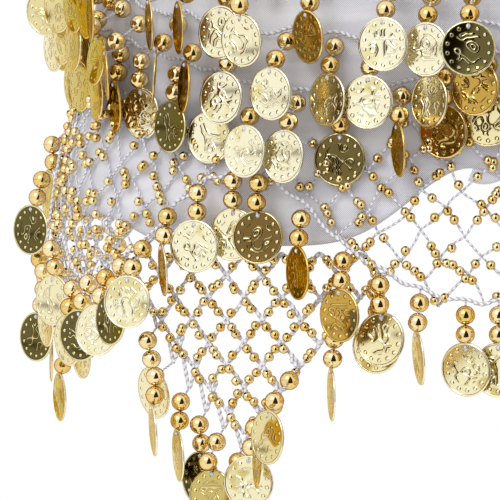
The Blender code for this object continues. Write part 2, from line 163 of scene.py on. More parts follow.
def gridFaces(rows, columns, closed=False):
    # Quads of a grid of points, wrapped along the columns if it is closed.
    last = columns if closed else columns - 1
    row, column = np.meshgrid(np.arange(rows - 1), np.arange(last), indexing="ij")
    here, below = row * columns, (row + 1) * columns
    after = (column + 1) % columns
    quads = (here + column, below + column, below + after, here + after)
    return np.stack(quads, -1).reshape(-1, 4)


def capFaces(rows, columns):
    # Triangles from the first and last rings of a closed grid to the two points after it.
    near = np.arange(columns)
    after = (near + 1) % columns
    first = np.full(columns, rows * columns)
    low = (rows - 1) * columns
    top = np.stack((first, near, after), -1)
    bottom = np.stack((first + 1, low + after, low + near), -1)
    return np.concatenate((top, bottom))


def tubes(paths, normals, halfWide, halfDeep, sides, lumps, pitch):
    # Closed tubes of elliptical section along many paths at once. The half width swells with the
    # size of the sine of the run over the pitch, so a tube is narrower between its stitches.
    count, stations = paths.shape[:2]
    ahead = np.gradient(paths, axis=1)
    ahead /= np.maximum(np.linalg.norm(ahead, axis=-1, keepdims=True), 1e-9)
    across = np.cross(ahead, normals)
    across /= np.maximum(np.linalg.norm(across, axis=-1, keepdims=True), 1e-9)
    upright = np.cross(across, ahead)
    lengths = np.linalg.norm(np.diff(paths, axis=1), axis=-1)
    run = np.concatenate((np.zeros((count, 1)), np.cumsum(lengths, axis=1)), axis=1)
    wide = halfWide * (1 - lumps + lumps * np.abs(np.sin(np.pi * run / pitch)))
    around = np.linspace(0, 2 * np.pi, sides, endpoint=False)
    ring = (
        across[:, :, None] * (wide[:, :, None] * np.cos(around))[..., None]
        + upright[:, :, None] * (halfDeep * np.sin(around))[None, None, :, None]
    )
    points = (paths[:, :, None] + ring).reshape(-1, 3)
    turned = (np.arange(sides) / sides)[None, None]
    uv = np.stack(np.broadcast_arrays(run[:, :, None] / pitch, turned), -1).reshape(-1, 2)
    one = gridFaces(stations, sides, closed=True)
    offsets = (np.arange(count) * stations * sides)[:, None, None]
    walls = (one[None] + offsets).reshape(-1, 4)
    first = np.arange(sides)[None] + offsets[:, 0]
    last = (stations - 1) * sides + np.arange(sides)[None, ::-1] + offsets[:, 0]
    return points, walls[:, ::-1], np.concatenate((first, last)), uv


def cordPiece(name, paths, normals, sizes, *nodes):
    # Crocheted cord as tubes of the given sizes.
    points, walls, ends, uv = tubes(paths, normals, **sizes)
    made = meshPiece(name, points, [walls, ends], ["crochetedPolyester"], uv=uv)
    return settle(made, "crochet_cord", *nodes)


def ballTemplate(segments, rings):
    # Unit ball: rings of points between two poles.
    up = np.cos(np.linspace(0, np.pi, rings + 2)[1:-1])
    turn = np.linspace(0, 2 * np.pi, segments, endpoint=False)
    wide = np.sqrt(1 - up ** 2)[:, None]
    tall = np.repeat(up[:, None], segments, 1)
    body = np.stack((wide * np.cos(turn), wide * np.sin(turn), tall), -1)
    points = np.concatenate((body.reshape(-1, 3), [[0, 0, 1], [0, 0, -1]]))
    return points, gridFaces(rings, segments, closed=True), capFaces(rings, segments)


def copies(template, origins, axes):
    # Many copies of a template, each with its own origin and its own three axes as rows.
    points, quads, caps = template
    placed = origins[:, None] + np.einsum("pk,nkj->npj", points, axes)
    offsets = (np.arange(len(origins)) * len(points))[:, None, None]
    allQuads = (quads[None] + offsets).reshape(-1, 4)
    allCaps = (caps[None] + offsets).reshape(-1, 3)
    return placed.reshape(-1, 3), allQuads, allCaps


def beadPiece(name, centres, radius, template, lean, squash=0.97):
    # Each bead's hole leans its own way from upright, and a dark spot of painted shade marks the hole at
    # each pole.
    turn = chance.uniform(0, 2 * np.pi, len(centres))
    tip = chance.normal(0, lean, (len(centres), 2))
    up = np.stack((tip[:, 0], tip[:, 1], np.ones(len(centres))), -1)
    up /= np.linalg.norm(up, axis=-1, keepdims=True)
    side = np.cross(up, np.stack((np.cos(turn), np.sin(turn), 0 * turn), -1))
    side /= np.linalg.norm(side, axis=-1, keepdims=True)
    axes = np.stack((side, np.cross(up, side), up * squash), 1) * radius
    points, quads, caps = copies(template, centres, axes)
    poles = np.zeros(len(template[0]))
    poles[-2:] = 1
    marks = {
        # for a bead this is only a random choice of gold, not a reflection
        "tone": np.repeat(chance.uniform(0, 1, len(centres)), len(template[0])),
        "hole": np.tile(poles, len(centres)),
    }
    made = meshPiece(name, points, [quads, caps], ["goldPlatedBead"], marks=marks)
    return settle(made, "gilt_brass")


# Materials

def linear(code):
    # sRGB hex to a linear colour.
    values = np.array([int(code[place:place + 2], 16) for place in (1, 3, 5)]) / 255
    lit = np.where(values <= 0.04045, values / 12.92, ((values + 0.055) / 1.055) ** 2.4)
    return (*lit.tolist(), 1)


def addNode(tree, kind, settings=None, **links):
    # A node with its settings, and its inputs set or linked by their names or places.
    made = tree.nodes.new("ShaderNode" + kind)
    for key, value in (settings or {}).items():
        setattr(made, key, value)
    for key, value in links.items():
        numbered = key[0] == "i" and key[1:].isdigit()
        socket = made.inputs[int(key[1:]) if numbered else key.replace("_", " ")]
        if isinstance(value, bpy.types.NodeSocket):
            tree.links.new(value, socket)
        else:
            socket.default_value = value
    return made


def newLook(name, **values):
    # A material, its tree and its shader, whose inputs take the values.
    made = bpy.data.materials.new(name)
    made.use_nodes = True
    shader = made.node_tree.nodes["Principled BSDF"]
    for key, value in values.items():
        shader.inputs[key.replace("_", " ")].default_value = value
    return made, made.node_tree, shader


def maths(tree, operation, *values):
    # One sum of the tree: the operation on its values.
    inputs = {f"i{index}": value for index, value in enumerate(values)}
    return addNode(tree, "Math", {"operation": operation}, **inputs).outputs[0]


def ramp(tree, value, *stops):
    # A colour ramp from pairs of place and colour.
    made = addNode(tree, "ValToRGB", i0=value)
    elements = made.color_ramp.elements
    while len(elements) < len(stops):
        elements.new(0.5)
    for element, (at, colour) in zip(elements, stops):
        element.position = at
        element.color = linear(colour)
    return made.outputs["Color"]


def linkMix(tree, share, first, second, socket=None):
    # The share of the second colour, and the rest of the first.
    made = addNode(tree, "Mix", {"data_type": "RGBA"}, i0=share, i6=first, i7=second)
    if socket:
        tree.links.new(made.outputs[2], socket)
    return made.outputs[2]


def roughened(tree, shader, height, strength, distance):
    # The height tips the surface's normal.
    bump = addNode(tree, "Bump", Height=height, Strength=strength, Distance=distance)
    tree.links.new(bump.outputs[0], shader.inputs["Normal"])


def attribute(tree, name):
    # A number that the mesh carries for each point.
    return addNode(tree, "Attribute", {"attribute_name": name}).outputs["Fac"]


chiffonLook = {
    "stops": ((0.3, "#BFBFCB"), (0.68, "#F4F4F9")),
    "threadsPerMillimetre": 1.5,
    "alpha": (0.7, 1.0),
    "cloud": (0.012, 0.11),
    "shares": (0.4, 0.6),
    "bump": (0.25, 0.0003),
}
cordLook = {
    # the darker colour is painted shade where the loops dip
    "stops": ((0.0, "#B9B9CC"), (0.6, "#EDEDF6")),
    "slant": 1.2,
    "fuzz": 0.25,
    "fuzzScale": 2600.0,
    "bump": (0.8, 0.0006),
}
beadLook = {
    "stops": ((0.0, "#ECCB7C"), (1.0, "#FAE9B8")),
    # painted shade for the hole: a dark spot at each pole
    "hole": "#24160C",
    "holeEdge": ((0.45, "#000000"), (0.6, "#FFFFFF")),
    # an amber edge tint that stands in for gold reflected from neighbouring beads and coins
    "grazing": "#9A5616",
    "roughness": 0.04,
    "rippleScale": 350.0,
    "bump": (0.05, 0.0004),
}
coinLook = {
    "roughness": 0.15,
    "grazing": "#E2C684",
    "dots": 14,
    "dotAway": 0.77,
    "dotRadius": 0.088,
    "dotFall": 24.0,
    "rim": (30.0, -27.3),
    "inner": (-20.0, 12.0),
    "curlNoise": (40.0, 2.5, 0.0),
    "curls": ((0.5, 17.0), (0.66, 14.0)),
    "patchNoise": (90.0, 0.8, 1.5),
    "patch": (22.0, -12.7),
    # how much darker the patch of painted reflection makes a coin
    "reflectedPatchDarker": 0.3,
    "steep": ((0.02, "#000000"), (0.3, "#A8A8A8"), (0.6, "#A8A8A8"), (0.85, "#000000")),
    "top": ((0.62, "#000000"), (0.9, "#F0F0F0")),
    "bump": (0.6, 0.0004),
    # each coin's colour by how dark it is: painted reflection, pale for coins that mirror the white room and
    # dark for those that mirror the dark of the room
    "reflectionTones": (
        (0.0, "#FAF4D4"), (0.3, "#F0E4AE"), (0.5, "#CDBB72"),
        (0.65, "#C2922F"), (0.75, "#9A6E34"), (0.9, "#665C36"),
    ),
    # colours of the dark lines of reflection painted on the steep sides of the relief
    "edges": ((0.0, "#A08F50"), (0.6, "#6F5220"), (0.9, "#26200C")),
    # colours of the pale highlight painted on the tops of the relief
    "raisedHighlight": ((0.0, "#FFFBE6"), (0.7, "#EBC468"), (0.9, "#F1E9B8")),
}


def makeChiffon():
    # Polyester chiffon, plain woven: sheer and dull, with a faint grid of threads, drawn coarser than
    # real ones. The weave is the product of two sines, and a stretched noise clouds it.
    values = {"Roughness": 0.85, "Sheen_Weight": 0.25, "Specular_IOR_Level": 0.25}
    made, tree, shader = newLook("plainWovenChiffon", **values)
    uv = addNode(tree, "UVMap", {"uv_map": "UVMap"}).outputs[0]
    split = addNode(tree, "SeparateXYZ", i0=uv)
    turns = 2 * math.pi * chiffonLook["threadsPerMillimetre"]
    warp = maths(tree, "SINE", maths(tree, "MULTIPLY", split.outputs[0], turns))
    weft = maths(tree, "SINE", maths(tree, "MULTIPLY", split.outputs[1], turns))
    weave = maths(tree, "MULTIPLY", warp, weft)
    height = maths(tree, "MULTIPLY_ADD", weave, 0.5, 0.5)
    cloudAlong, cloudDown = chiffonLook["cloud"]
    along = maths(tree, "MULTIPLY", split.outputs[0], cloudAlong)
    across = maths(tree, "MULTIPLY", split.outputs[1], cloudDown)
    stretched = addNode(tree, "CombineXYZ", i0=along, i1=across).outputs[0]
    cloudy = addNode(tree, "TexNoise", Vector=stretched, Scale=1.0, Detail=4.0).outputs[0]
    wovenShare, cloudyShare = chiffonLook["shares"]
    woven = maths(tree, "MULTIPLY", height, wovenShare)
    tint = maths(tree, "ADD", woven, maths(tree, "MULTIPLY", cloudy, cloudyShare))
    tree.links.new(ramp(tree, tint, *chiffonLook["stops"]), shader.inputs["Base Color"])
    low, high = chiffonLook["alpha"]
    tree.links.new(maths(tree, "MULTIPLY_ADD", height, high - low, low), shader.inputs["Alpha"])
    roughened(tree, shader, height, *chiffonLook["bump"])


def makeCord():
    # Crocheted polyester chain, white with a lavender cast. Each stitch is a loop that folds over the
    # next: the size of a sine along the cord, slanted by the place round it, with a fuzz of noise.
    # The colour is darker where the loops dip, a painted shade between the stitches.
    made, tree, shader = newLook("crochetedPolyester", Roughness=0.62, Sheen_Weight=0.3)
    uv = addNode(tree, "UVMap", {"uv_map": "UVMap"}).outputs[0]
    split = addNode(tree, "SeparateXYZ", i0=uv)
    twice = maths(tree, "FRACT", maths(tree, "MULTIPLY", split.outputs[1], 2.0))
    slant = maths(tree, "ABSOLUTE", maths(tree, "SUBTRACT", twice, 0.5))
    slanted = maths(tree, "MULTIPLY", slant, cordLook["slant"])
    phase = maths(tree, "ADD", split.outputs[0], slanted)
    loops = maths(tree, "ABSOLUTE", maths(tree, "SINE", maths(tree, "MULTIPLY", phase, math.pi)))
    spot = addNode(tree, "TexCoord").outputs["Object"]
    fuzz = addNode(tree, "TexNoise", Vector=spot, Scale=cordLook["fuzzScale"], Detail=2.0).outputs[0]
    height = maths(tree, "MULTIPLY_ADD", fuzz, cordLook["fuzz"], loops)
    # painted shade: darker where the loops dip between the stitches
    tree.links.new(ramp(tree, loops, *cordLook["stops"]), shader.inputs["Base Color"])
    roughened(tree, shader, height, *cordLook["bump"])


def makeBead():
    # Plated plastic bead: a mirror of pale gold, amber at its rim and dark at its hole. The amber edge
    # tint stands in for gold reflected from neighbouring beads and coins, and the dark spot at the hole,
    # which the mesh lacks, is painted shade. Each bead's gold lies between a deeper and a paler gold,
    # and a faint noise ripples the plating.
    made, tree, shader = newLook("goldPlatedBead", Metallic=1.0, Roughness=beadLook["roughness"])
    # the amber edge tint stands in for gold reflected from the neighbours
    shader.inputs["Specular Tint"].default_value = linear(beadLook["grazing"])
    gold = ramp(tree, attribute(tree, "tone"), *beadLook["stops"])
    hole = ramp(tree, attribute(tree, "hole"), *beadLook["holeEdge"])
    # the hole is painted as a dark spot of shade
    linkMix(tree, hole, gold, linear(beadLook["hole"]), shader.inputs["Base Color"])
    spot = addNode(tree, "TexCoord").outputs["Object"]
    ripple = addNode(tree, "TexNoise", Vector=spot, Scale=beadLook["rippleScale"], Detail=2.0).outputs[0]
    roughened(tree, shader, ripple, *beadLook["bump"])


def clamped(tree, value, slope, start):
    # The slope times the value, plus the start, kept between 0 and 1.
    settings = {"operation": "MULTIPLY_ADD", "use_clamp": True}
    return addNode(tree, "Math", settings, i0=value, i1=slope, i2=start).outputs[0]


def ownNoise(tree, uv, seed, apart, scale, detail):
    # A noise with four places. The coin's seed, so many units apart, is the fourth.
    fourth = maths(tree, "MULTIPLY", seed, apart)
    settings = {"noise_dimensions": "4D"}
    return addNode(tree, "TexNoise", settings, Vector=uv, W=fourth, Scale=scale, Detail=detail).outputs[0]


def coinHeight(tree, uv, seed):
    # The highest of: curls where a soft noise crosses its middle, a ring of dots, and the rim.
    plain = addNode(tree, "SeparateXYZ", i0=uv)
    reach = addNode(tree, "VectorMath", {"operation": "LENGTH"}, i0=uv).outputs["Value"]
    soft = ownNoise(tree, uv, seed, *coinLook["curlNoise"])
    inner = clamped(tree, reach, *coinLook["inner"])
    curls = []
    for crossing, fall in coinLook["curls"]:
        off = maths(tree, "ABSOLUTE", maths(tree, "SUBTRACT", soft, crossing))
        curls.append(clamped(tree, off, -fall, 1.0))
    scroll = maths(tree, "MULTIPLY", maths(tree, "MAXIMUM", *curls), inner)
    share = coinLook["dots"] / (2 * math.pi)
    part = maths(tree, "MULTIPLY", maths(tree, "ARCTAN2", plain.outputs[1], plain.outputs[0]), share)
    offDot = maths(tree, "SUBTRACT", maths(tree, "FRACT", part), 0.5)
    sideways = maths(tree, "MULTIPLY", offDot, coinLook["dotAway"] / share)
    outwards = maths(tree, "SUBTRACT", reach, coinLook["dotAway"])
    apart = addNode(tree, "CombineXYZ", i0=sideways, i1=outwards).outputs[0]
    apart = addNode(tree, "VectorMath", {"operation": "LENGTH"}, i0=apart).outputs["Value"]
    fall = coinLook["dotFall"]
    dots = clamped(tree, apart, -fall, fall * coinLook["dotRadius"])
    rim = clamped(tree, reach, *coinLook["rim"])
    return maths(tree, "MAXIMUM", maths(tree, "MAXIMUM", scroll, dots), rim)


def makeCoin():
    # Thin stamped brass: a rim, a ring of dots and a scroll of curls. Its colour paints reflection: some
    # coins are painted pale, as mirrors of the white room, and some dark, as mirrors of the dark of the
    # room;
    # steep sides of the stamping get painted dark lines of reflection, and the tops of the relief, the
    # rim among them, a painted pale highlight that stays on the dark coins too.
    made, tree, shader = newLook("stampedBrass", Metallic=1.0, Roughness=coinLook["roughness"])
    shader.inputs["Specular Tint"].default_value = linear(coinLook["grazing"])
    uv = addNode(tree, "UVMap", {"uv_map": "UVMap"}).outputs[0]
    # how dark each coin's painted reflection is, and its seed
    tone, seed = attribute(tree, "tone"), attribute(tree, "seed")
    height = coinHeight(tree, uv, seed)
    # a patch of each coin, larger on some, is painted darker as the reflection of what hangs beside it
    cloud = ownNoise(tree, uv, seed, *coinLook["patchNoise"])
    patch = clamped(tree, cloud, *coinLook["patch"])
    shifted = maths(tree, "MULTIPLY_ADD", patch, coinLook["reflectedPatchDarker"], tone)
    base = ramp(tree, shifted, *coinLook["reflectionTones"])
    # dark lines of reflection painted on the steep sides of the relief
    edges = ramp(tree, tone, *coinLook["edges"])
    # a pale highlight painted on the tops of the relief and the rim
    raisedHighlight = ramp(tree, tone, *coinLook["raisedHighlight"])
    steep = ramp(tree, height, *coinLook["steep"])
    top = ramp(tree, height, *coinLook["top"])
    lined = linkMix(tree, steep, base, edges)
    linkMix(tree, top, lined, raisedHighlight, shader.inputs["Base Color"])
    roughened(tree, shader, height, *coinLook["bump"])


makeChiffon()
makeCord()
makeBead()
makeCoin()
print("materials made")


# Chiffon wrap

wrap = {
    "thickness": 0.4,
    "out": 0.4,
    "columns": 384,
    "rows": 64,
    "bandTop": 30,
    "hemLow": -112,
    "riseAlong": (-260, -184, -110, -32, 120, 260),
    "rise": (6, 4, 20, 26, 17, 14),
    "knotReach": 85,
    "knotTopDrop": 24,
    "knotHemRise": 62,
    "knotFold": 2.6,
    "knotPleats": 7,
    "knotPleatDeep": 0.9,
    "sways": ((0.03, 97), (0.02, 41)),
    "creaseHalf": 0.035,
    "foldDown": (0, 0.10, 0.22, 0.36, 0.50, 0.62, 0.76, 0.88, 1),
    "foldOut": (0, 0.6, -0.3, 0.5, -0.2, 0.6, -0.3, 0.4, 0),
    "flat": (1.15, 0.2),
    "area": 0.13,
}
creases = table("along down length depth slant", (
    (-150, 0.16, 60, 0.9, 0.05), (-60, 0.12, 70, 0.8, -0.04), (-20, 0.24, 55, 0.7, 0.06),
    (-110, 0.55, 48, 0.8, -0.08), (-40, 0.62, 62, 0.9, 0.05), (-85, 0.80, 40, 0.7, 0.03),
    (40, 0.18, 66, 0.8, -0.05), (90, 0.58, 58, 0.9, 0.06), (150, 0.30, 50, 0.8, -0.03),
    (-215, 0.44, 52, 0.9, 0.07), (-262, 0.70, 45, 0.8, -0.05), (220, 0.66, 60, 0.8, 0.04),
    (285, 0.25, 64, 0.9, -0.06), (-320, 0.35, 60, 0.8, 0.05), (340, 0.74, 48, 0.8, 0.04),
))


def hemLevel(along):
    # The low level, with a rise at each crest of the zigzag, the lift to the back and a rise at the knot.
    crest = (0.5 + 0.5 * np.cos(2 * np.pi * offPoint(along) / repeat)) ** 3
    near = nearKnot(along)
    rise = np.interp(wrapped(along, girth), wrap["riseAlong"], wrap["rise"]) * crest
    return wrap["hemLow"] + rise * (1 - near) + lift(along) + wrap["knotHemRise"] * near


def topLevel(along):
    # The top level, with half of the lift to the back and a drop at the knot.
    return wrap["bandTop"] + 0.5 * lift(along) - wrap["knotTopDrop"] * nearKnot(along)


def wrapOut(along, down):
    # Long folds that sway along the cloth, and short soft ridges where it is pulled. A ridge is its
    # depth times e to the minus of the squares of the places along it and across it.
    near = nearKnot(along)
    sway = sum(size * np.sin(2 * np.pi * along / length) for size, length in wrap["sways"])
    folds = np.interp(down + sway * down * (1 - down) * 4, wrap["foldDown"], wrap["foldOut"])
    out = folds * (1 - near) + wrap["knotFold"] * np.sin(4 * np.pi * down) * near
    for at, middle, length, depth, slant in zip(*creases.values()):
        off = wrapped(along - at, girth) / length
        ridge = (down - middle - slant * off) / wrap["creaseHalf"]
        out = out + depth * np.exp(-off ** 2 - ridge ** 2)
    return out + wrap["knotPleatDeep"] * near * np.sin(2 * np.pi * wrap["knotPleats"] * down)


def thickened(made):
    # The cloth's wall, added outwards.
    wall = made.modifiers.new("Wall", "SOLIDIFY")
    wall.thickness = wrap["thickness"] * mm
    wall.offset = 1
    return made


def makeWrap():
    # Rows of points from the top edge to the hem, each moved out by the folds.
    along = np.linspace(0, girth, wrap["columns"], endpoint=False)[None, :]
    down = np.linspace(0, 1, wrap["rows"])[:, None]
    level = topLevel(along) + (hemLevel(along) - topLevel(along)) * down
    along, down = np.broadcast_arrays(along, down)
    points = place(along, level, wrap["out"] + wrapOut(along, down))
    uv = np.stack((np.broadcast_to(along, level.shape), level), -1).reshape(-1, 2)
    faces = gridFaces(wrap["rows"], wrap["columns"], closed=True)
    made = meshPiece("chiffonWrap", points.reshape(-1, 3), faces, ["plainWovenChiffon"], uv=uv)
    return settle(thickened(made), "chiffon", "chiffon_wrap")


chiffonWrap = makeWrap()
print("chiffon wrap made")


# Strands of two beads and a coin

strandSizes = {
    "beadRadius": 3.1,
    "shownBead": 3.3,
    "coinRadius": 9.1,
    "firstBead": 4.3,
    "secondBead": 10.7,
    "coinHole": 13.6,
    "coinDrop": 22.4,
    "coinReach": 8.2,
    "coinLow": -9,
    "braidDeep": 1.6,
    "braidHigh": 1.5,
    "rootHalf": 0.9,
    "braidParts": 4,
    "gap": 0.35,
    "outStep": 0.25,
    "beadSpan": 2.4,
    "coinHalf": 0.75,
    "coinClear": 0.8,
    "linkHalf": 1.2,
    "near": 30,
    "mostSteps": 140,
    "chainHalf": 0.8,
    "tiltFrom": 6.6,
    "tieRise": 7.4,
    "tieOut": 0.2,
    "footShare": 0.9,
    "beadLean": 0.12,
    "coinTilt": (0.03, 0.05),
    "coinTurn": 0.05,
    "chainParts": 14,
    "chainSag": 0.8,
}
hiddenTurns = (14, 26, 9, 38, 18, 52, 12, 30)
# how dark the painted reflection of each hidden coin is, with the share of coins that get each
hiddenCoinReflections = {"tone": (0.05, 0.2, 0.35, 0.5, 0.65, 0.9), "share": (0.3, 0.22, 0.18, 0.12, 0.08, 0.1)}
hung = []


def pointGap(point, line):
    # Length from a point to the nearest place of a line.
    step = line[1] - line[0]
    share = min(max((point - line[0]) @ step / max(step @ step, 1e-9), 0), 1)
    return math.hypot(*(point - line[0] - share * step))


def sideOf(line, point):
    # Above zero on the line's left and below it on its right.
    step, off = line[1] - line[0], point - line[0]
    return step[0] * off[1] - step[1] * off[0]


def lineGap(a, b):
    # 0 where the lines cross, or else the least length from an end to the other line.
    crossed = sideOf(a, b[0]) * sideOf(a, b[1]) < 0 and sideOf(b, a[0]) * sideOf(b, a[1]) < 0
    if crossed:
        return 0
    return min(pointGap(a[0], b), pointGap(a[1], b), pointGap(b[0], a), pointGap(b[1], a))


def clears(piece, others):
    # Whether the piece is above, below or away from each other one by the gap.
    gap = strandSizes["gap"]
    for other in others:
        apart = other["low"] > piece["high"] + gap or other["high"] < piece["low"] - gap
        reach = piece["radius"] + other["radius"] + gap
        if not apart and lineGap(piece["line"], other["line"]) < reach:
            return False
    return True


def hang(along, level, span, reach, radius, face, least=0):
    # Moves a piece out from the face by steps, from the least length on, until it clears the rest.
    # Seen from above, it is a line with a radius.
    point, _, normal = frameAt(along, level)
    point, normal = point[:2], normal[:2]
    near = strandSizes["near"]
    others = [other for other in hung if np.hypot(*(other["line"].mean(0) - point)) < near]
    nearest = max(face + strandSizes["gap"] + radius + abs(reach @ normal), least)
    low, high = level + span[0], level + span[1]
    for out in nearest + strandSizes["outStep"] * np.arange(strandSizes["mostSteps"]):
        centre = point + out * normal
        piece = dict(line=np.array((centre - reach, centre + reach)), radius=radius, low=low, high=high)
        if clears(piece, others):
            break
    return out, piece


def linkPiece(link, piece):
    # The thread from a place down to the piece that hangs from it.
    line = np.array((link[0], piece["line"].mean(0)))
    return dict(line=line, radius=strandSizes["linkHalf"], low=piece["high"], high=link[1])


def hangStrand(strand):
    # The coin takes its place first. The beads hang on the straight line from the root to it.
    sizes = strandSizes
    along, level, face, start = strand["along"], strand["level"], strand["face"], strand["braidOut"]
    root = level + sizes["coinDrop"]
    angle = np.radians(strand["faces"])
    flat = np.array((np.cos(angle), np.sin(angle))) * sizes["coinReach"]
    coinSpan = (sizes["coinLow"], sizes["coinDrop"] - sizes["coinHole"])
    coinOut, coinPiece = hang(along, level, coinSpan, flat, sizes["coinHalf"], face + sizes["coinClear"])
    strand["outs"], made = [], []
    link = place(along, root, start)[:2], root - sizes["rootHalf"]
    span = (-sizes["beadSpan"], sizes["beadSpan"])
    for depth in (sizes["firstBead"], sizes["secondBead"]):
        least = start + (coinOut - start) * depth / sizes["coinHole"]
        out, bead = hang(along, root - depth, span, np.zeros(2), sizes["beadRadius"], face, least)
        strand["outs"].append(out)
        made += [bead, linkPiece(link, bead)]
        link = bead["line"][0], root - depth
    strand["outs"].append(coinOut)
    hung.extend(made + [coinPiece, linkPiece(link, coinPiece)])


def eachOf(strands, key):
    # One number of every strand.
    return np.array([strand[key] for strand in strands])


def hangBraid(strands):
    # The chain from root to root, as short straight parts.
    sizes = strandSizes
    along, root = eachOf(strands, "along"), eachOf(strands, "level") + sizes["coinDrop"]
    parts = np.linspace(0, len(strands) - 1, sizes["braidParts"] * (len(strands) - 1) + 1)
    at = np.interp(parts, range(len(strands)), along)
    levels = np.interp(parts, range(len(strands)), root)
    points = place(at, levels, strands[0]["braidOut"] + 0.5 * sizes["braidDeep"])[:, :2]
    for index in range(len(parts) - 1):
        low, high = sorted(levels[index:index + 2])
        part = dict(line=points[index:index + 2], radius=0.5 * sizes["braidDeep"])
        part.update(low=low, high=high + sizes["braidHigh"])
        hung.append(part)


def hiddenReflectionTones(count):
    # Painted reflections, pale to dark, for the coins round the sides and the back, drawn by their shares.
    return chance.choice(hiddenCoinReflections["tone"], count, p=hiddenCoinReflections["share"])


def strandList(along, level, faces, reflectionTones, braidOut, face):
    # The strands of one braid, hung in their order.
    strands = [
        dict(along=here, level=height, faces=turn, tone=tone, braidOut=braidOut, face=face)
        for here, height, turn, tone in zip(along, level, faces, reflectionTones)
    ]
    hangBraid(strands)
    for strand in strands:
        hangStrand(strand)
    return strands


def hiddenFaces(along, level):
    # The cloth's own direction plus a turn from the list, over and over.
    _, _, normal = frameAt(along, level)
    direction = np.degrees(np.arctan2(normal[..., 0], -normal[..., 1]))
    return direction + np.resize(hiddenTurns, len(along))


bigBall = ballTemplate(14, 7)
smallBall = ballTemplate(8, 4)
threadSizes = {"halfWide": 0.38, "halfDeep": 0.38, "sides": 5, "lumps": 0.0, "pitch": 1.6}
braidSizes = {"halfWide": 0.75, "halfDeep": 0.55, "sides": 6, "lumps": 0.4, "pitch": 2.2}
tieRadius = 0.85
coinShape = {"segments": 26, "rings": (0.0, 0.88, 0.93, 1.0), "face": (0.22, 0.20, 0.36, 0.22)}


def coinTemplate():
    # Two faces of rings whose radius and height come from a profile, joined at the rim. The coin
    # lies in x and z.
    count = coinShape["segments"]
    turn = np.linspace(0, 2 * np.pi, count, endpoint=False)
    radius = np.array(coinShape["rings"][1:]) * strandSizes["coinRadius"]
    height = np.array(coinShape["face"][1:])
    radius = np.concatenate((radius, radius[::-1]))[:, None]
    height = np.concatenate((-height, height[::-1]))
    thick = np.repeat(height[:, None], count, 1)
    body = np.stack((radius * np.cos(turn), thick, radius * np.sin(turn)), -1)
    middle = coinShape["face"][0]
    points = np.concatenate((body.reshape(-1, 3), [[0, -middle, 0], [0, middle, 0]]))
    return points, gridFaces(len(radius), count, closed=True), capFaces(len(radius), count)


coin = coinTemplate()


def coinsPiece(name, strands):
    # A coin for each strand, turned to its direction and tilted a little from its hole.
    sizes = strandSizes
    turned = chance.normal(0, sizes["coinTurn"], len(strands))
    angle = np.radians(eachOf(strands, "faces")) + turned
    tilt = chance.normal(*sizes["coinTilt"], len(strands))
    flat = np.stack((np.cos(angle), np.sin(angle), 0 * angle), -1)
    face = np.stack((np.sin(angle), -np.cos(angle), 0 * angle), -1)
    upright = np.array((0, 0, 1.0)) * np.cos(tilt)[:, None] + face * np.sin(tilt)[:, None]
    inward = np.cross(upright, flat)
    along, level, outs = (eachOf(strands, key) for key in ("along", "level", "outs"))
    hole = place(along, level + sizes["tiltFrom"], outs[:, 2])
    centres = hole - upright * sizes["tiltFrom"]
    axes = np.stack((flat, inward, upright), 1)
    points, quads, caps = copies(coin, centres, axes)
    local = coin[0][:, [0, 2]] / strandSizes["coinRadius"]
    uv = np.tile(local, (len(strands), 1))
    marks = {
        # each coin carries how dark its painted reflection is
        "tone": np.repeat(eachOf(strands, "tone"), len(coin[0])),
        "seed": np.repeat(chance.uniform(0, 1, len(strands)), len(coin[0])),
    }
    return meshPiece(name, points, [quads, caps], ["stampedBrass"], uv=uv, marks=marks)


def strandPieces(name, node, strands):
    # The braid, the beads, the coins and the threads that join them.
    sizes = strandSizes
    along, level, outs = (eachOf(strands, key) for key in ("along", "level", "outs"))
    root = level + sizes["coinDrop"]
    settle(coinsPiece(name + "Coins", strands), "gilt_brass", node)
    firstAt = place(along, root - sizes["firstBead"], outs[:, 0])
    secondAt = place(along, root - sizes["secondBead"], outs[:, 1])
    beadsAt = np.concatenate((firstAt, secondAt))
    beadPiece(name + "Beads", beadsAt, sizes["shownBead"], bigBall, sizes["beadLean"])
    top = place(along, root, strands[0]["braidOut"] + sizes["chainHalf"])
    hole = place(along, level + sizes["tieRise"], outs[:, 2])
    _, _, normal = frameAt(along, level)
    # the thread passes through both beads, leaves the second at its foot and ends in the coin's hole
    foot = secondAt - np.array((0, 0, sizes["footShare"] * sizes["shownBead"]))
    knots = np.stack((top, firstAt, secondAt, foot, hole + normal * sizes["tieOut"]), 1)
    normals = np.broadcast_to(normal[:, None], knots.shape)
    cordPiece(name + "Threads", knots, normals, threadSizes)
    # the thread is knotted in the coin's hole
    upright = np.broadcast_to(np.eye(3) * tieRadius, (len(strands), 3, 3))
    points, quads, caps = copies(smallBall, hole, upright)
    ties = meshPiece(name + "Ties", points, [quads, caps], ["crochetedPolyester"], uv=points[:, :2])
    settle(ties, "crochet_cord")


def braidPiece(name, strands):
    # A chain from root to root that dips between them, by the cosine of the share of the way.
    sizes = strandSizes
    along, root = eachOf(strands, "along"), eachOf(strands, "level") + sizes["coinDrop"]
    count = sizes["chainParts"] * (len(strands) - 1) + 1
    parts = np.linspace(0, len(strands) - 1, count)
    at = np.interp(parts, range(len(strands)), along)
    dips = sizes["chainSag"] * np.cos(2 * np.pi * parts)
    level = np.interp(parts, range(len(strands)), root) + dips
    points = place(at, level, strands[0]["braidOut"] + sizes["chainHalf"])
    _, _, normal = frameAt(at, level)
    cordPiece(name, points[None], normal[None], braidSizes)


# Second tier: triangles of open net

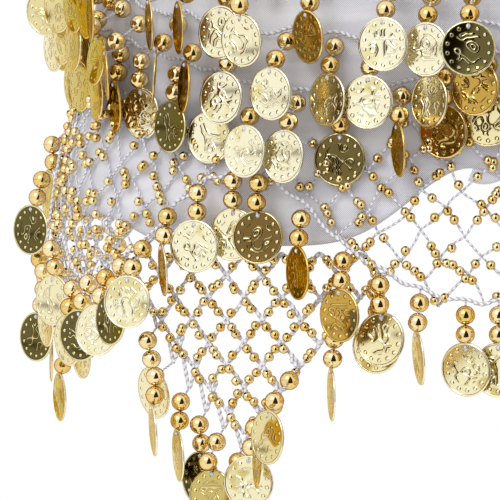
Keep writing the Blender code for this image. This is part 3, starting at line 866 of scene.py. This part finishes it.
openNet = {
    "cellWide": 13.6,
    "cellHigh": 15.3,
    "cordHalf": 1.4,
    "netTop": -112.8,
    "out": 1.0,
    "firstAlong": -108,
    "veeDrop": 2.4,
    "veeOut": 2.2,
    "veeFace": 2.0,
    "smallBead": 1.68,
    "beadOut": 1.2,
    "beadSlide": 0.07,
    "beadSpread": 0.3,
    "beadLean": 0.9,
    "beadShares": (0.3, 0.64),
    "beadsKept": 0.95,
    "veeHigh": 1.2,
    "veeLow": 2.6,
    "veeBow": 0.1,
}
fineChain = {"halfWide": 0.5, "halfDeep": 0.4, "sides": 5, "lumps": 0.4, "pitch": 2.0}
chainSizes = {"halfWide": 0.9, "halfDeep": 0.55, "sides": 6, "lumps": 0.4, "pitch": 2.2}
nets = table("place cells", ((-1, 6), (0, 7), (1, 7), (2, 6)))
# the last column is how dark the reflection painted on each coin is, from pale at 0
veeSeen = table("step faces rise tone", (
    (-5, -54, 0.6, 0.15), (-4, -84, -3.4, 0.1), (-3, -80, -4.4, 0.15), (-2, -49, -4.4, 0.9),
    (-1, -29, -2.4, 0.5), (0, -30, -1.4, 0.3), (1, -21, 2.6, 0.15), (2, -77, 2.6, 0.1),
    (3, -56, 3.6, 0.35), (5, -83, 2.1, 0.1), (7, -33, 2.6, 0.25),
))
veeHidden = (-5, -3, -2, 0, 2, 3, 5)


def openPlace(middle, column, row):
    # The place of a crossing: half cells across from the middle and down from the top.
    along = middle + np.asarray(column) * openNet["cellWide"] / 2
    level = openNet["netTop"] + lift(along) - openNet["cordHalf"] - np.asarray(row) * openNet["cellHigh"] / 2
    return along, level


def netCords(cells):
    # Pairs of crossings that a cord joins: each cell has four sides, and neighbours share them.
    pairs = set()
    for row in range(cells):
        for number in range(cells - row):
            column = 2 * number - (cells - 1 - row)
            left, right, bottom = (column - 1, row + 1), (column + 1, row + 1), (column, row + 2)
            pairs |= {((column, row), left), ((column, row), right), (left, bottom), (right, bottom)}
    return np.array(sorted(pairs), float)


def cordPaths(starts, ends, stations=9, bow=0.35):
    # Straight cords, each bowed its own way by the sine of the share of its length.
    share = np.linspace(0, 1, stations)[None, :, None]
    paths = starts[:, None] * (1 - share) + ends[:, None] * share
    sway = chance.normal(0, bow, (len(starts), 1, 3)) * np.sin(np.pi * share)
    return paths + sway


def netPieces(name, node, alongs, levels, net, sizes):
    # Cords from pairs of places round the hips, and small beads at shares of their lengths.
    starts, ends = (place(alongs[:, end], levels[:, end], net["out"]) for end in (0, 1))
    paths = cordPaths(starts, ends)
    _, _, normal = frameAt(alongs.mean(1), levels.mean(1))
    normals = np.broadcast_to(normal[:, None], paths.shape)
    cords = cordPiece(name + "Cords", paths, normals, sizes, node)
    beads = []
    for share in net["beadShares"]:
        along = share + chance.normal(0, openNet["beadSlide"], (len(starts), 1))
        spots = starts * (1 - along) + ends * along + normal * openNet["beadOut"]
        beads.append(spots[chance.random(len(spots)) < net["beadsKept"]])
    centres = np.concatenate(beads)
    centres = centres + chance.normal(0, openNet["beadSpread"], centres.shape)
    beadPiece(name + "Beads", centres, openNet["smallBead"], smallBall, openNet["beadLean"])
    return cords


def makeVees(name, at, root, edgeAt):
    # Each strand hangs from a vee of two chains, from the net's cords on either side of it.
    high = np.minimum(edgeAt + openNet["cellHigh"] / 4, openNet["netTop"] + lift(at))
    low = place(at, root, openNet["veeLow"])
    legs = []
    for side in (-1, 1):
        start = place(at + side * openNet["cellWide"] / 4, high, openNet["veeHigh"])
        legs.append(cordPaths(start, low, bow=openNet["veeBow"]))
    paths = np.concatenate(legs)
    _, _, normal = frameAt(np.tile(at, 2), np.tile(root, 2))
    cordPiece(name, paths, np.broadcast_to(normal[:, None], paths.shape), chainSizes)


def makeOpenNet(number, where, cells):
    # One triangle: its cords and beads, then the strands under its lower sides, which rise by half
    # a cell for each step away from its tip.
    middle = openNet["firstAlong"] + where * repeat
    pairs = netCords(int(cells))
    spots = openPlace(middle, pairs[..., 0], pairs[..., 1])
    netPieces(f"openNet{number}", f"open_net_{number}", *spots, openNet, chainSizes)
    seen = where == 0
    stepsHere = np.array(veeSeen["step"] if seen else veeHidden, float)
    at = middle + stepsHere * openNet["cellWide"] / 2
    top = openNet["netTop"] + lift(at) - 2 * openNet["cordHalf"]
    tip = top - (cells + 1) * openNet["cellHigh"] / 2
    edgeAt = tip + np.abs(stepsHere) * openNet["cellHigh"] / 2
    root = edgeAt - openNet["veeDrop"] + (veeSeen["rise"] if seen else 0)
    coinLevel = root - strandSizes["coinDrop"]
    faces = veeSeen["faces"] if seen else hiddenFaces(at, coinLevel)
    reflectionTones = veeSeen["tone"] if seen else hiddenReflectionTones(len(at))
    strands = strandList(at, coinLevel, faces, reflectionTones, openNet["veeOut"], openNet["veeFace"])
    strandPieces(f"openNetFringe{number}", f"open_net_fringe_{number}", strands)
    makeVees(f"openNetVees{number}", at, root, edgeAt)


for number, (where, cells) in enumerate(zip(nets["place"], nets["cells"]), 1):
    makeOpenNet(number, where, cells)
print("second tier made")


# First tier: net on the chiffon, with a zigzag edge

tier = {
    "edgeOff": (0, 17, 42, 58, 76),
    "edgeLevel": (-132, -127.5, -113, -99.5, -87),
    "start": -1,
    "count": 4,
    "columns": 22,
    "rows": 12,
    "rowHigh": 7.65,
    "overCoin": 9,
    "pastEdge": 2,
    "beadShares": (0.2, 0.5, 0.8),
    "beadsKept": 0.5,
    "top": -62,
    "out": 2.9,
    "face": 3.6,
    "edgeOut": 4.5,
    "edgePitch": 17,
    "rowStart": -332,
    "rowEnd": 268,
    "sideways": ((1.5, 0.41, 0.9, 0), (0.9, 1.3, -0.37, 0)),
    "upwards": ((1.4, 0.57, -0.71, 2), (0.8, 0.23, 1.1, 0)),
}
# the last column is how dark the reflection painted on each coin is, from pale at 0
edgeSeen = table("along level faces tone", (
    (-230, -93, -73, 0.3), (-220.5, -106, -43, 0.9), (-211, -139, -71, 0.1), (-193, -131, -47, 0.15),
    (-181.5, -145, -60, 0.2), (-171.5, -143, -37, 0.9), (-162, -141, -34, 0.1), (-152.5, -137, -54, 0.9),
    (-143, -131, -28, 0.05), (-133.5, -120, -80, 0.3), (-122.5, -112, -23, 0.05), (-110.5, -108, -30, 0.1),
    (-100.5, -109, -21, 0.85), (-85, -121, -70, 0.68), (-70.5, -135, -49, 0.6), (-58, -143, -33, 0.25),
    (-46.5, -149, -84, 0.1), (-32, -153, -25, 0.15), (-21.5, -153, -34, 0.2),
))
levelsC = {"away": (0, 30, 60, 90, 130, 160, 200, 240), "level": (-70, -71, -79, -83, -76, -67, -55, -51)}


def edgeLevel(along):
    # The zigzag's level by the length from its nearest point, with the lift to the back.
    return np.interp(offPoint(along), tier["edgeOff"], tier["edgeLevel"]) + lift(along)


def waveSum(waves, along, level):
    # Sines of the place. Each has its size, its turns across and down, and its start.
    return sum(size * np.sin(across * along + down * level + start) for size, across, down, start in waves)


def wander(along, level):
    # The net is worked unevenly: each crossing moves by a sum of waves of its place, which is the
    # same for every cord that meets there.
    sideways = waveSum(tier["sideways"], along, level)
    upwards = waveSum(tier["upwards"], along, level)
    return along + sideways, level + upwards


tierMiddles = [hips["pointAlong"] + (tier["start"] + index) * repeat for index in range(tier["count"])]


def firstNetPairs(middle):
    # Cords slant from each crossing to the next row on both sides, where that lies above the zigzag
    # and the cord's top lies below the lowest coins.
    half = tier["columns"] // 2
    pitch = repeat / tier["columns"]
    column, row = np.meshgrid(np.arange(-half, half), np.arange(tier["rows"]), indexing="ij")
    column, row = column.ravel(), row.ravel()
    keep = (column + row) % 2 == 0
    column, row = column[keep], row[keep]
    alongs, levels = [], []
    for side in (-1, 1):
        along = middle + pitch * column
        level = tier["top"] + lift(along) - tier["rowHigh"] * row
        nextAlong = middle + pitch * (column + side)
        nextLevel = tier["top"] + lift(nextAlong) - tier["rowHigh"] * (row + 1)
        top = np.interp(away(along), levelsC["away"], levelsC["level"]) + tier["overCoin"]
        inside = (nextLevel > edgeLevel(nextAlong) - tier["pastEdge"]) & (level < top)
        alongs.append(np.stack((along, nextAlong), -1)[inside])
        levels.append(np.stack((level, nextLevel), -1)[inside])
    return np.concatenate(alongs), np.concatenate(levels)


def makeFirstNets():
    # A net for each repeat, with its crossings wandered.
    for number, middle in enumerate(tierMiddles, 1):
        spots = wander(*firstNetPairs(middle))
        netPieces(f"firstNet{number}", f"first_net_{number}", *spots, tier, fineChain)


def makeEdgeFringes():
    # Seen strands as in their table, and hidden ones at a pitch on both sides of them.
    start, end = edgeSeen["along"].min(), edgeSeen["along"].max()
    left = np.arange(start - tier["edgePitch"], tier["rowStart"], -tier["edgePitch"])[::-1]
    right = np.arange(end + tier["edgePitch"], tier["rowEnd"], tier["edgePitch"])
    hidden = np.concatenate((left, right))
    level = edgeLevel(hidden) - strandSizes["coinDrop"]
    rows = list(zip(hidden, level, hiddenFaces(hidden, level), hiddenReflectionTones(len(hidden))))
    rows = sorted(rows + list(zip(*edgeSeen.values())))
    for number, middle in enumerate(tierMiddles, 1):
        mine = [row for row in rows if middle - repeat / 2 <= row[0] < middle + repeat / 2]
        strands = strandList(*zip(*mine), tier["edgeOut"], tier["face"])
        strandPieces(f"firstNetFringe{number}", f"first_net_fringe_{number}", strands)
        braidPiece(f"firstNetEdge{number}", strands)


makeFirstNets()
makeEdgeFringes()
print("first tier made")


# Three rows of strands on the chiffon

rowSizes = {"pitch": 21, "braidOut": 2.6, "clothFace": 1.8}
# in these three tables the last column is how dark the reflection painted on each coin is, from pale at 0
rowA = table("along level faces tone", (
    (-202, -27, -60, 0.35), (-187, -28, -66, 0.5), (-171, -31, -70, 0.6), (-159.5, -33, -77, 0.74),
    (-144.5, -36, -84, 0.5), (-129.5, -38, -78, 0.7), (-115, -40, -35, 0.1), (-105.5, -43, -41, 0.1),
    (-86.5, -42, -58, 0.55), (-59.5, -45, -27, 0.02), (-45.5, -47, -40, 0.02), (-31.5, -47, -4, 0.92),
))
rowB = table("along level faces tone", (
    (-208, -38, -60, 0.3), (-193, -41, -70, 0.4), (-181.5, -44, -66, 0.45), (-172, -47, -65, 0.5),
    (-158, -53, -85, 0.6), (-141, -54, -88, 0.6), (-127, -58, -73, 0.7), (-113.5, -62, -39, 0.05),
    (-96, -61, -38, 0.02), (-79.5, -63, -48, 0.15), (-65, -64, -29, 0.05), (-44.5, -64, -48, 0.25),
    (-29.5, -60, -35, 0.6),
))
rowC = table("along level faces tone", (
    (-226.5, -52, -80, 0.3), (-214.5, -53, -70, 0.4), (-201, -55, -63, 0.45), (-183, -59, -73, 0.45),
    (-169, -63, -75, 0.7), (-157, -66, -45, 0.05), (-139.5, -71, -56, 0.92), (-124, -75, -37, 0.05),
    (-105, -80, -40, 0.02), (-91, -82, -37, 0.05), (-75, -83, -24, 0.88), (-54.5, -80, -77, 0.72),
    (-40.5, -74, -29, 0.55), (-26, -70, -22, 0.3),
))
levelsA = {"away": (0, 110, 160, 200, 240), "level": (-48, -43, -37, -29, -25)}
levelsB = {"away": (0, 70, 130, 160, 200, 240), "level": (-60, -64, -60, -54, -43, -38)}


def makeRow(letter, seen, levels, face):
    # Seen strands as in their table, and hidden ones at a pitch on both sides of them.
    start, end = seen["along"].min(), seen["along"].max()
    left = np.arange(start - rowSizes["pitch"], tier["rowStart"], -rowSizes["pitch"])[::-1]
    right = np.arange(end + rowSizes["pitch"], tier["rowEnd"], rowSizes["pitch"])
    leftLevel = np.interp(away(left), levels["away"], levels["level"])
    rightLevel = np.interp(away(right), levels["away"], levels["level"])
    along = np.concatenate((left, seen["along"], right))
    level = np.concatenate((leftLevel, seen["level"], rightLevel))
    leftFaces, rightFaces = hiddenFaces(left, leftLevel), hiddenFaces(right, rightLevel)
    faces = np.concatenate((leftFaces, seen["faces"], rightFaces))
    reflectionTones = np.concatenate((hiddenReflectionTones(len(left)), seen["tone"], hiddenReflectionTones(len(right))))
    strands = strandList(along, level, faces, reflectionTones, rowSizes["braidOut"], face)
    strandPieces("coinRow" + letter.upper(), "coin_row_" + letter, strands)
    braidPiece(f"coinRow{letter.upper()}Braid", strands)


makeRow("c", rowC, levelsC, tier["face"])
makeRow("b", rowB, levelsB, rowSizes["clothFace"])
makeRow("a", rowA, levelsA, rowSizes["clothFace"])
print("coin rows made")


# Knot and ends

knot = {
    "half": (24, 14, 19),
    "level": -6,
    "out": 18.6,
    "rows": 40,
    "columns": 72,
    "poleGap": 0.02,
    "pleats": 5,
    "deep": 0.07,
    "slant": 1.5,
    "groove": {"deep": 0.12, "at": 0.6, "half": 0.18},
    "clothScale": 20,
    "poleCloth": 31,
}
ends = {
    "length": 60,
    "wide": (24, 46),
    "out": 10,
    "pleats": 3,
    "pleatDeep": (5, 3),
    "pleatBend": (0.5, 3),
    "hemDeep": 2,
    "hemWaves": (1.5, 0.2),
    "ripple": (0.3, 9, 5),
    "rows": 40,
    "columns": 72,
    "shift": (-15, 15),
    "swing": (-14, 12),
    "seat": 0.3,
    "clothScale": (50, 60),
    "flat": (0.05, 0.065),
    "area": 0.0026,
}


def makeKnot():
    # An ellipsoid whose skin is drawn in by the cosine of the height, slanted by the turn, with one
    # deeper groove from top to bottom.
    groove = knot["groove"]
    limit = np.pi / 2 - knot["poleGap"]
    turn = np.linspace(0, 2 * np.pi, knot["columns"], endpoint=False)[None, :]
    rise = np.linspace(-limit, limit, knot["rows"])[:, None]
    phase = knot["pleats"] * 2 * rise + knot["slant"] * np.sin(turn)
    pleat = 1 - knot["deep"] * (0.5 + 0.5 * np.cos(phase))
    pressed = np.exp(-(np.sin(turn / 2 - groove["at"]) / groove["half"]) ** 2)
    pleat = pleat * (1 - groove["deep"] * pressed)
    wide = np.cos(rise)
    ball = np.broadcast_arrays(wide * np.cos(turn), wide * np.sin(turn), np.sin(rise))
    local = np.stack(ball, -1) * pleat[..., None] * np.array(knot["half"])
    point, tangent, normal = frameAt(knotAlong, knot["level"])
    centre = point + normal * knot["out"]
    upright = np.array((0, 0, 1.0))
    points = centre + local[..., :1] * tangent + local[..., 1:2] * -normal + local[..., 2:] * upright
    flat = points.reshape(-1, 3)
    flat = np.concatenate((flat, [points[0].mean(0), points[-1].mean(0)]))
    caps = capFaces(knot["rows"], knot["columns"])[:, [0, 2, 1]]
    scale = knot["clothScale"]
    uv = np.stack(np.broadcast_arrays(turn * scale, rise * scale), -1).reshape(-1, 2)
    uv = np.concatenate((uv, [[0, -knot["poleCloth"]], [0, knot["poleCloth"]]]))
    quads = gridFaces(knot["rows"], knot["columns"], closed=True)[:, ::-1]
    made = meshPiece("clothKnot", flat, [quads, caps], ["plainWovenChiffon"], uv=uv)
    return settle(made, "chiffon", "knot")


def makeEnd(index):
    # A free end: it widens and its pleats lose depth in a straight line downwards. A sine across it
    # makes the pleats, and another makes the hem wander.
    down = np.linspace(0, 1, ends["rows"])[:, None]
    across = np.linspace(-0.5, 0.5, ends["columns"])[None, :]
    wide = ends["wide"][0] + (ends["wide"][1] - ends["wide"][0]) * down
    deep = ends["pleatDeep"][0] + (ends["pleatDeep"][1] - ends["pleatDeep"][0]) * down
    along = knotAlong + ends["shift"][index] + ends["swing"][index] * down + wide * across
    waves, shift = ends["hemWaves"]
    hem = ends["hemDeep"] * np.sin(2 * np.pi * (across * waves + shift * index)) * down
    level = knot["level"] - knot["half"][2] - ends["seat"] - ends["length"] * down + hem
    middle = ends["out"] + (knot["out"] - ends["out"]) * (1 - down) ** 2
    bend, bendTurns = ends["pleatBend"]
    wave = np.sin(2 * np.pi * ends["pleats"] * (across + 0.5) + bend * np.sin(bendTurns * down + index))
    size, turnsDown, turnsAcross = ends["ripple"]
    ripple = size * np.sin(turnsDown * down + turnsAcross * across)
    out = middle + wrap["out"] + deep * 0.5 * wave + ripple
    points = place(along, level, out)
    clothAcross, clothDown = ends["clothScale"]
    uv = np.stack(np.broadcast_arrays(across * clothAcross, down * clothDown), -1).reshape(-1, 2)
    faces = gridFaces(ends["rows"], ends["columns"])
    made = meshPiece(f"clothEnd{index + 1}", points.reshape(-1, 3), faces, ["plainWovenChiffon"], uv=uv)
    settle(thickened(made), "chiffon", f"knot_end_{index + 1}")


makeKnot()
for index in range(2):
    makeEnd(index)
print("knot made")


# Camera, light and surroundings

studio = {
    "camera": (-105, -1418, -113.3),
    "lens": 280.8,
    "world": "#FFFFFF",
    "worldStrength": 1.0,
    "floorLevel": -330,
    "floorHalf": 380,
    "floor": "#F4F3F0",
    "light": {"at": (-900, -1300, 900), "towards": (-60, -60, -80), "size": 900, "power": 9},
}
cards = {
    "darkCorner": ("#2A1608", ((-370, -670, -590), (480, -670, -590), (60, -670, 640))),
    "darkHorizon": (
        "#4A2C10", ((-2600, -900, -60), (-2600, 700, -60), (-2600, 700, 60), (-2600, -900, 60)),
    ),
    "warmWall": (
        "#D9B36A", ((2200, -1300, -1500), (2200, 1500, -1500), (2200, 1500, 1500), (2200, -1300, 1500)),
    ),
}
scene = bpy.context.scene
scene.view_settings.view_transform = "Standard"


def makeCamera():
    # It stands square to the front and looks along the depth.
    data = bpy.data.cameras.new("camera")
    data.lens = studio["lens"]
    data.sensor_width = 36
    data.clip_start, data.clip_end = 0.05, 50
    made = bpy.data.objects.new("camera", data)
    made.location = [value * mm for value in studio["camera"]]
    made.rotation_euler = (math.pi / 2, 0, 0)
    scene.collection.objects.link(made)
    scene.camera = made


def makeCard(name, colour, corners, glossyOnly=True):
    # A flat dull card of the studio. Gloss reflects it, and only the floor shows.
    made, tree, shader = newLook(name + "Paint", Roughness=1.0)
    shader.inputs["Base Color"].default_value = linear(colour)
    mesh = bpy.data.meshes.new(name)
    points = [tuple(value * mm for value in corner) for corner in corners]
    mesh.from_pydata(points, [], [tuple(range(len(corners)))])
    mesh.materials.append(made)
    card = bpy.data.objects.new(name, mesh)
    scene.collection.objects.link(card)
    if glossyOnly:
        card.visible_camera = False
        card.visible_diffuse = False
        card.visible_shadow = False
        card.visible_transmission = False


def makeLight(name, at, towards, size, power):
    # A square light turned from its place towards the part.
    data = bpy.data.lights.new(name, "AREA")
    data.size = size * mm
    data.energy = power
    made = bpy.data.objects.new(name, data)
    made.location = [value * mm for value in at]
    made.rotation_mode = "QUATERNION"
    made.rotation_quaternion = (Vector(towards) * mm - made.location).to_track_quat("-Z", "Y")
    scene.collection.objects.link(made)


def makeStudio():
    # An even pale room, dark and warm cards for the gloss, a floor and one soft light.
    world = bpy.data.worlds.new("paleRoom")
    scene.world = world
    world.use_nodes = True
    back = world.node_tree.nodes["Background"]
    back.inputs["Color"].default_value = linear(studio["world"])
    back.inputs["Strength"].default_value = studio["worldStrength"]
    for name, (colour, corners) in cards.items():
        makeCard(name, colour, corners)
    half, level = studio["floorHalf"], studio["floorLevel"]
    sides = ((-half, -half), (half, -half), (half, half), (-half, half))
    makeCard("paleFloor", studio["floor"], [(*side, level) for side in sides], glossyOnly=False)
    makeLight("keyLight", **studio["light"])


makeCamera()
makeStudio()
print("studio made")
